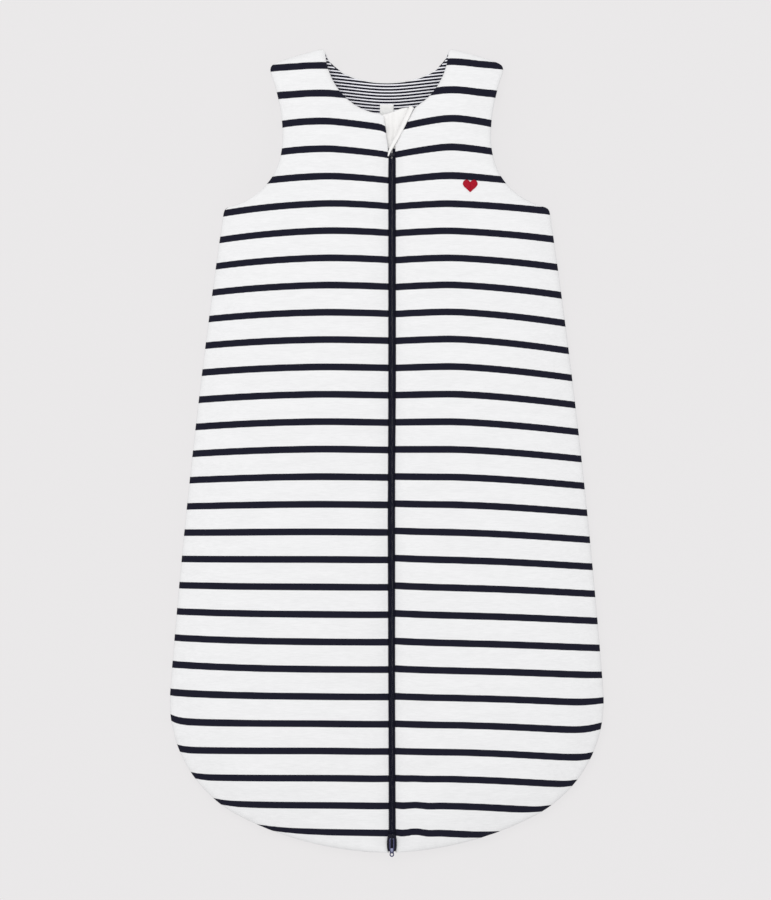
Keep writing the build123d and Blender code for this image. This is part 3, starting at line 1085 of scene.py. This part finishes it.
def refined(node, body, material, width, segments=2):
    """A metal part of the frame with its sharp edges rounded off."""
    work = bmesh.new()
    work.from_mesh(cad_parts[node].data)
    bmesh.ops.remove_doubles(work, verts=work.verts, dist=0.002 * MM)
    bmesh.ops.dissolve_limit(
        work, angle_limit=math.radians(1.0), verts=work.verts, edges=work.edges
    )
    sharp = [
        e for e in work.edges
        if len(e.link_faces) == 2 and e.calc_face_angle(0) > math.radians(35)
    ]
    bmesh.ops.bevel(
        work, geom=sharp, offset=width * MM, segments=segments, profile=0.5,
        affect="EDGES", clamp_overlap=True, offset_type="OFFSET",
    )
    bmesh.ops.triangulate(work, faces=work.faces)
    mesh = bpy.data.meshes.new(node + "_finished")
    work.to_mesh(mesh)
    work.free()
    mesh.polygons.foreach_set("use_smooth", [True] * len(mesh.polygons))
    mesh.set_sharp_from_angle(angle=math.radians(28))
    finish_piece(link(node + "_finished", mesh), body, [node], material)


def make_zip():
    """Coils, tapes, stops, slider, pull and locking leaf."""
    for side_name, sign in (("left", -1), ("right", 1)):
        make_coil(side_name, sign)
        make_tape(side_name, sign)
        refined("zip_end_stop_" + side_name, "bag", ENAMEL, 0.12)
    refined("zip_top_stop", "bag", ENAMEL, 0.2)
    refined("slider_body", "slider", ENAMEL, 0.22, 3)
    refined("slider_bridge", "slider", ENAMEL, 0.2, 3)
    refined("pull_tab", "pull", LACQUER, 0.28, 3)
    refined("lock_leaf", "lock", STEEL, 0.04)


# ------------------------ guard, facing and labels


def make_guard():
    """Folded jersey strip behind the zip, with soft pleats where the slit shows it."""
    low, high = record_box("zip_guard")
    across = np.linspace(low[0], high[0], 41)
    along = np.concatenate([np.linspace(low[1], 235, 150), np.linspace(237, 296, 60)])
    rows = []
    for y in along:
        top = 291.5 + 7.0 / (1 + np.exp(-(across - 7) / 4))
        shown = np.clip((y - 248) / 30, 0, 1)
        actual = np.where(y > 285, 285 + (y - 285) * (top - 285) / 11, y)
        spread = 0.25 + 0.75 * shown
        run = (across - 3.5) / spread
        pleat = 0.6 * np.cos(run * 0.62 + 0.5) + 0.4 * np.cos(run * 1.13 - 1.1 + y / 40)
        pleat = pleat * np.exp(-((across - 4) / (14 * spread)) ** 2)
        drop = 0.9 * np.clip((y - 262) / 30, 0, 1)
        wave = 0.12 * np.sin(y / 17 + across / 9)
        z = 20.55 - drop + wave + 0.62 * shown * pleat
        rows.append(np.column_stack([across, actual, z]))
    item = cloth_grid("zip_guard_cloth", rows, 1.1)
    finish_piece(item, "bag", ["zip_guard"], PLAIN)


FACING_RIGHT = (
    (1.5, 255.0), (3.6, 259.3), (6.9, 265.0), (11.0, 272.0), (15.7, 281.0), (19.6, 289.0), (23.6, 297.4)
)
FACING_LEFT = (
    (0.8, 255.4), (1.6, 260.0), (4.2, 266.2), (7.5, 272.8), (12.0, 281.8), (15.8, 290.2), (19.8, 299.6)
)


def evenly(points, share):
    """Places along a smooth curve through the points, at shares of its length."""
    line = catmull(points, 1.0)
    along = np.linspace(0, 1, len(line))
    return np.stack([np.interp(share, along, line[:, k]) for k in (0, 1)], 1)


def make_facing():
    """Narrow band of jersey turned out of the slit's right edge."""
    share = np.linspace(0, 1, 46)
    rows = []
    for t, outer, inner in zip(share, evenly(FACING_RIGHT, share), evenly(FACING_LEFT, share)):
        row = []
        for s in np.linspace(0, 1, 11):
            x, y = inner + (outer - inner) * s
            sink = (3.9 * (1 - s) + 2.1 * s) * t**0.7
            height = 26.6 - sink + 0.9 * math.sin(math.pi * s) * min(1, 3 * t)
            fold = 0.15 * math.sin(11 * t + 4 * s)
            row.append((x, y, height + fold * min(1, 4 * t)))
        rows.append(row)
    item = cloth_grid("front_facing_cloth", np.array(rows), 0.9)
    finish_piece(item, "bag", ["front_facing"], PLAIN)


def small_label(node, thickness, back):
    """A blank woven label that lies on the back lining."""
    low, high = record_box(node)
    centre, size = (low + high)[:2] / 2, (high - low)[:2]
    xs, ys = (np.linspace(-side / 2, side / 2, 15) for side in size)
    plan = np.dstack(np.meshgrid(xs, ys)) + centre
    z = back.surfaces(plan.reshape(-1, 2))[1].reshape(15, 15) + thickness / 2 + 0.05
    z += 0.1 * np.sin(plan[:, :, 0] * 0.9) * np.cos(plan[:, :, 1] * 0.7)
    item = cloth_grid(node + "_woven", np.dstack([plan, z]), thickness)
    finish_piece(item, "bag", [node], LABEL)
    return item, size


def make_labels(back):
    """The labels inside the neck and in the side seam."""
    item, size = small_label("neck_label", 0.5, back)
    item, size = small_label("care_label", 0.35, back)


# ------------------------ embroidered heart


def heart_outline(centre, width):
    """Outline of a heart of the given width."""
    t = np.linspace(0, 2 * math.pi, 120, endpoint=False)
    x = 16 * np.sin(t) ** 3
    y = 13 * np.cos(t) - 5 * np.cos(2 * t) - 2 * np.cos(3 * t) - np.cos(4 * t)
    scale = width / 32
    return np.column_stack([centre[0] + x * scale, centre[1] + (y + 2.5) * scale])


def make_heart(front):
    """Satin stitch in two slanting halves that meet down the middle."""
    low, high = record_box("chest_heart")
    centre, width = (low + high)[:2] / 2, (high - low)[0]
    outline = heart_outline(centre, width)
    slope = math.tan(math.radians(24))
    strands = []
    for sign in (-1, 1):
        for k, start in enumerate(np.arange(low[1] - 6, high[1] + 2, 0.36)):
            s = np.linspace(0.0, width / 2 + 0.2, 60)
            path = np.column_stack([centre[0] + sign * s, start + slope * s])
            kept = path[inside(path, outline)]
            if len(kept) < 5:
                continue
            ends = kept[[0, -1]] + np.array([[-sign * 0.12, 0], [sign * 0.1, 0]])
            share = np.linspace(0, 1, 9)[:, None]
            line = ends[0] + (ends[1] - ends[0]) * share
            top = front.surfaces(line)[1]
            arch = 0.32 - 0.22 * share[:, 0] + 0.25 * np.sin(math.pi * share[:, 0]) ** 0.6
            arch += 0.03 * math.sin(k * 2.4)
            strands.append(tube(np.column_stack([line, top + arch]), 0.23, 6))
    item = new_mesh("chest_heart_stitches", *join(strands))
    finish_piece(item, "bag", ["chest_heart"], RED_THREAD)


# ------------------------ camera, light and floor

CAMERA_AIM = (-0.0011, 0.0, 0.018)
CAMERA_DISTANCE = 3.70
FLOOR_GLOW = 0.733
WORLD_LIGHT = 0.70
KEY_LIGHT = 29.0


def make_camera():
    data = bpy.data.cameras.new("camera")
    data.sensor_width = 36
    data.lens = 170
    data.clip_end = 20
    camera = link("camera", data)
    camera.location = (CAMERA_AIM[0], CAMERA_AIM[1], CAMERA_AIM[2] + CAMERA_DISTANCE)
    bpy.context.scene.camera = camera


def make_floor():
    """A pale table lit from below, so that the bag leaves no dark shadow on it."""
    size = 3000.0
    corners = [(-size, -size, 0), (size, -size, 0), (size, size, 0), (-size, size, 0)]
    floor = new_mesh("floor", corners, [(0, 1, 2, 3)])
    n = Nodes("lit table")
    tint = n.mix(n.noise(3.0), srgb(80, 79, 79), srgb(82, 81, 81))
    glow = (FLOOR_GLOW, FLOOR_GLOW * 0.985, FLOOR_GLOW * 0.992, 1.0)
    material = n.finish(
        tint, Roughness=0.95, Specular_IOR_Level=0.1, Emission_Color=glow, Emission_Strength=1.0
    )
    floor.data.materials.append(material)


def make_lights():
    """An even white room and one soft lamp above the bag."""
    world = bpy.data.worlds.new("studio")
    bpy.context.scene.world = world
    world.use_nodes = True
    background = world.node_tree.nodes["Background"]
    background.inputs["Color"].default_value = (1, 1, 1, 1)
    background.inputs["Strength"].default_value = WORLD_LIGHT

    data = bpy.data.lights.new("key", "AREA")
    data.shape = "DISK"
    data.size = 1.4
    data.energy = KEY_LIGHT
    lamp = link("key", data)
    lamp.location = (-0.3, 0.5, 2.6)
    direction = Vector((0, 0, 0)) - lamp.location
    lamp.rotation_euler = direction.to_track_quat("-Z", "Y").to_euler()
    bpy.context.scene.view_settings.view_transform = "Standard"


make_camera()
make_floor()
make_lights()
layers = make_layers()
make_seams(layers["back"])
make_zip()
make_guard()
make_facing()
make_labels(layers["back"])
make_heart(layers["front_right"])

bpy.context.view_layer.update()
